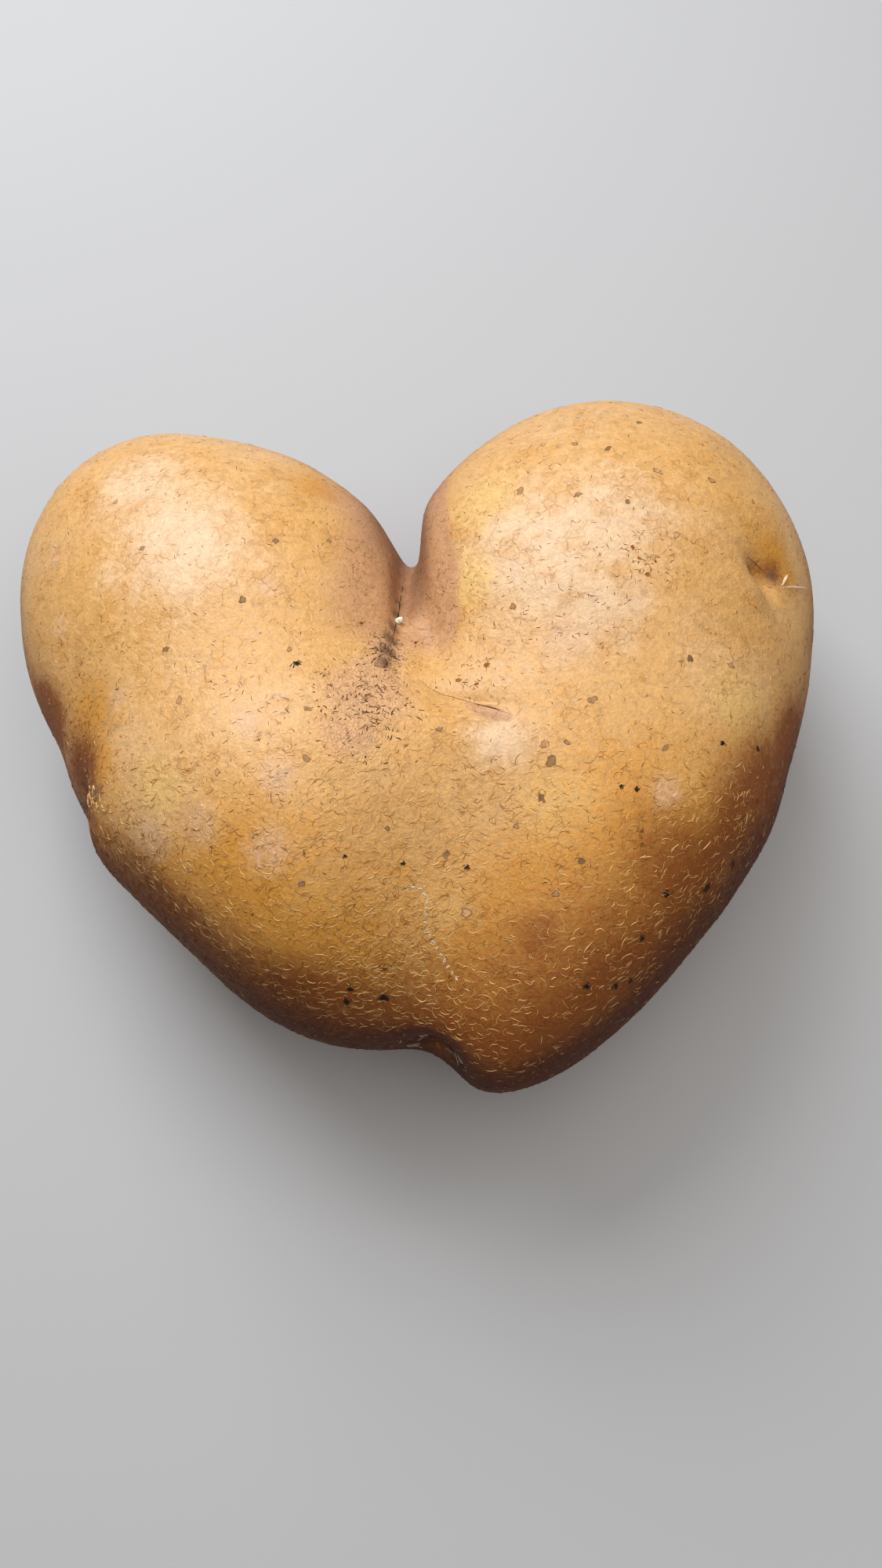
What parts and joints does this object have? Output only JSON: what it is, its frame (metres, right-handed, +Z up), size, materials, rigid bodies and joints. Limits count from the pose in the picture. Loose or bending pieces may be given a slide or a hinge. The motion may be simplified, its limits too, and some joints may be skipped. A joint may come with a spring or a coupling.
{
  "type": "heart-shaped potato",
  "caption": "Potato grown in the shape of a heart: rounded lobes run together over one body, with a deep cleft, eyes, a crease and a blunt tip.",
  "frame": {"origin": "middle of the bounding box's underside, on the surface that the potato lies on", "axes": "+X across both lobes to the right lobe, +Y from the blunt tip to the lobes, +Z up through the thickness"},
  "size_m": [0.1108, 0.0968, 0.0481],
  "materials": {
    "skin": "matte"
  },
  "bodies": {
    "root": {"potato": "skin"}
  },
  "joints": []
}
